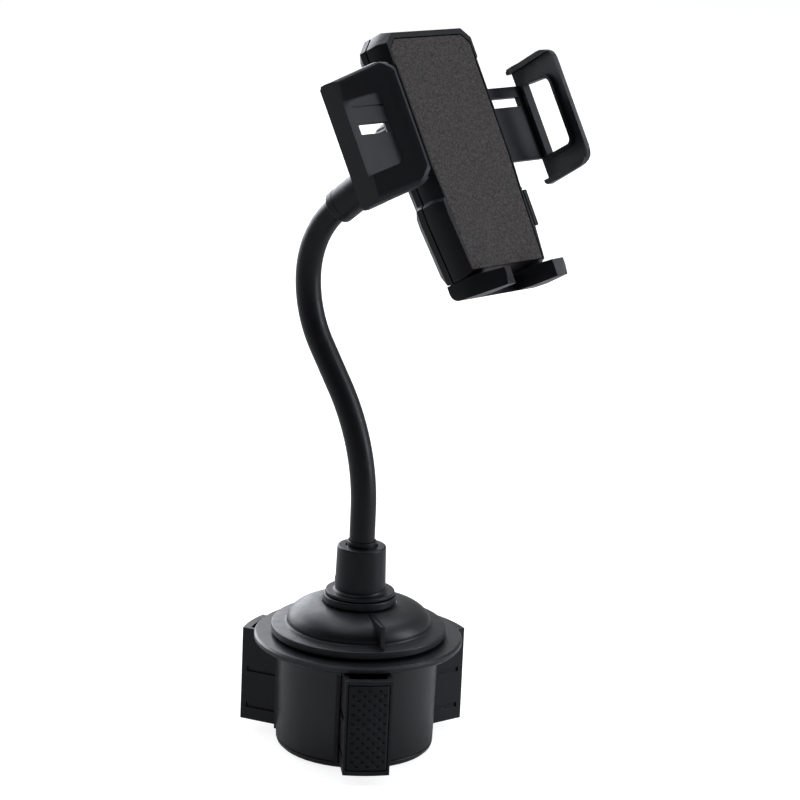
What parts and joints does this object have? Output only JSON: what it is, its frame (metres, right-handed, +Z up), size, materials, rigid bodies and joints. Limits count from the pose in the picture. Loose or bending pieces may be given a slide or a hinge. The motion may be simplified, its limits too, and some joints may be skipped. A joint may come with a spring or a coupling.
{
  "type": "cup holder phone mount",
  "caption": "Phone mount for a car cup holder: a cup base with expanding wings, a bendable gooseneck and a tilting, turning cradle with sprung side arms and a pull-out foot.",
  "frame": {"origin": "centre of the underside of the cup base, where it stands on the floor of a cup holder", "axes": "+Z up along the cup base and the lower end of the neck; the neck bends in the YZ plane, backwards towards +Y and then forwards; the cradle faces -Y, tilted 30 degrees upwards; +X is to the right of the cradle seen from behind it, so the release button is on +X"},
  "size_m": [0.1186, 0.1313, 0.2979],
  "materials": {
    "gloss_black": "smooth moulded plastic, semi gloss",
    "satin_black": "fine moulded texture, satin",
    "neck_rubber": "smooth satin sleeve",
    "wing_rubber": "matte rubber with small oval dimples",
    "pad_rubber": "grained, speckled soft pad",
    "nylon": "natural nylon",
    "steel": "bright wire and screws"
  },
  "bodies": {
    "base": {"cup_housing": "gloss_black", "cup_bottom_plate": "satin_black", "centre_post": "satin_black", "bottom_screw_1": "steel", "bottom_screw_2": "steel", "bottom_screw_3": "steel", "thrust_washer": "nylon", "collar_ring": "satin_black", "neck_socket": "satin_black", "lower_ferrule": "satin_black", "gooseneck_link_1": "neck_rubber", "gooseneck_core_1": "steel"},
    "dial": {"dial": "satin_black", "scroll_plate": "nylon"},
    "wing_1": {"wing_1": "satin_black", "wing_pad_1": "wing_rubber", "wing_pin_1": "steel"},
    "wing_2": {"wing_2": "satin_black", "wing_pad_2": "wing_rubber", "wing_pin_2": "steel"},
    "wing_3": {"wing_3": "satin_black", "wing_pad_3": "wing_rubber", "wing_pin_3": "steel"},
    "neck_2": {"gooseneck_link_2": "neck_rubber", "gooseneck_core_2": "steel"},
    "neck_3": {"gooseneck_link_3": "neck_rubber", "gooseneck_core_3": "steel"},
    "neck_4": {"gooseneck_link_4": "neck_rubber", "gooseneck_core_4": "steel"},
    "neck_5": {"gooseneck_link_5": "neck_rubber", "gooseneck_core_5": "steel", "upper_ferrule": "satin_black", "ball_stud": "satin_black"},
    "swivel_rear": {"liner_rear": "nylon"},
    "swivel_front": {"liner_front": "nylon"},
    "cradle": {"ball_socket": "satin_black", "back_shell": "satin_black", "front_shell": "satin_black", "face_pad": "pad_rubber", "shell_screw_1": "steel", "shell_screw_2": "steel", "shell_screw_3": "steel", "shell_screw_4": "steel", "pinion_pin": "steel", "pawl_pin": "steel", "arm_spring_left": "steel", "arm_spring_right": "steel", "button_spring": "steel"},
    "nut": {"locking_nut": "satin_black"},
    "arm_left": {"left_arm": "satin_black"},
    "arm_right": {"right_arm": "satin_black"},
    "pinion": {"pinion_gear": "nylon"},
    "button": {"release_button": "satin_black"},
    "pawl": {"ratchet_pawl": "nylon"},
    "foot": {"foot_support": "satin_black"}
  },
  "joints": [
    {"name": "dial_turn", "type": "hinge", "parent": "base", "child": "dial", "pos_m": [0, 0, 0.046], "axis": [0, 0, 1], "range_deg": [-10.5, 109]},
    {"name": "wing_1_slide", "type": "slide", "parent": "base", "child": "wing_1", "axis": [-0.7193, -0.6947, 0], "range_m": [-0.01546, 0.0015]},
    {"name": "wing_2_slide", "type": "slide", "parent": "base", "child": "wing_2", "axis": [0.9613, -0.2756, 0], "range_m": [-0.01546, 0.0015]},
    {"name": "wing_3_slide", "type": "slide", "parent": "base", "child": "wing_3", "axis": [-0.2419, 0.9703, 0], "range_m": [-0.01546, 0.0015]},
    {"name": "neck_bend_1", "type": "hinge", "parent": "base", "child": "neck_2", "pos_m": [0, 0.00031, 0.10799], "axis": [1, 0, 0], "range_deg": [-25, 25]},
    {"name": "neck_bend_2", "type": "hinge", "parent": "neck_2", "child": "neck_3", "pos_m": [0, 0.01002, 0.14138], "axis": [0, 0.8862, -0.4634], "range_deg": [-25, 25]},
    {"name": "neck_bend_3", "type": "hinge", "parent": "neck_3", "child": "neck_4", "pos_m": [0, 0.02753, 0.16932], "axis": [1, 0, 0], "range_deg": [-25, 25]},
    {"name": "neck_bend_4", "type": "hinge", "parent": "neck_4", "child": "neck_5", "pos_m": [0, 0.03189, 0.20042], "axis": [0, 0.9751, 0.2216], "range_deg": [-25, 25]},
    {"name": "ball_tilt", "type": "hinge", "parent": "neck_5", "child": "swivel_rear", "pos_m": [0, -0.01458, 0.24899], "axis": [0.9988, -0.024, -0.0416], "range_deg": [-20, 20]},
    {"name": "ball_pan", "type": "hinge", "parent": "swivel_rear", "child": "swivel_front", "pos_m": [0, -0.01458, 0.24899], "axis": [0.048, 0.4994, 0.865], "range_deg": [-20, 20]},
    {"name": "cradle_turn", "type": "hinge", "parent": "swivel_front", "child": "cradle", "pos_m": [0, -0.01458, 0.24899], "axis": [0, -0.866, 0.5], "continuous": true},
    {"name": "nut_turn", "type": "hinge", "parent": "cradle", "child": "nut", "pos_m": [0, -0.01458, 0.24899], "axis": [0, -0.866, 0.5], "range_deg": [-30, 180]},
    {"name": "arm_left_slide", "type": "slide", "parent": "cradle", "child": "arm_left", "axis": [-0.9988, 0.024, 0.0416], "range_m": [-0.022, 0.001]},
    {"name": "arm_right_slide", "type": "slide", "parent": "cradle", "child": "arm_right", "axis": [0.9988, -0.024, -0.0416], "range_m": [-0.022, 0.001]},
    {"name": "pinion_spin", "type": "hinge", "parent": "cradle", "child": "pinion", "pos_m": [-0.00001, -0.03119, 0.25823], "axis": [0, -0.866, 0.5], "range_deg": [-351, 17]},
    {"name": "button_press", "type": "slide", "parent": "cradle", "child": "button", "axis": [-0.9988, 0.024, 0.0416], "range_m": [0, 0.0015], "stiffness_N_per_m": 600, "springref_m": -0.0015},
    {"name": "pawl_lift", "type": "hinge", "parent": "cradle", "child": "pawl", "pos_m": [0.01142, -0.04001, 0.23494], "axis": [0, -0.866, 0.5], "range_deg": [-8, 0.2]},
    {"name": "foot_pull", "type": "slide", "parent": "cradle", "child": "foot", "axis": [-0.048, -0.4994, -0.865], "range_m": [0, 0.012]}
  ],
  "couplings": [
    {"joint": "wing_1_slide", "follows": "dial_turn", "m_per_rad": -0.00812},
    {"joint": "wing_2_slide", "follows": "dial_turn", "m_per_rad": -0.00812},
    {"joint": "wing_3_slide", "follows": "dial_turn", "m_per_rad": -0.00812},
    {"joint": "arm_right_slide", "follows": "arm_left_slide", "ratio": 1},
    {"joint": "pinion_spin", "follows": "arm_left_slide", "rad_per_m": 277.78},
    {"joint": "pawl_lift", "follows": "button_press", "rad_per_m": -90.9}
  ]
}
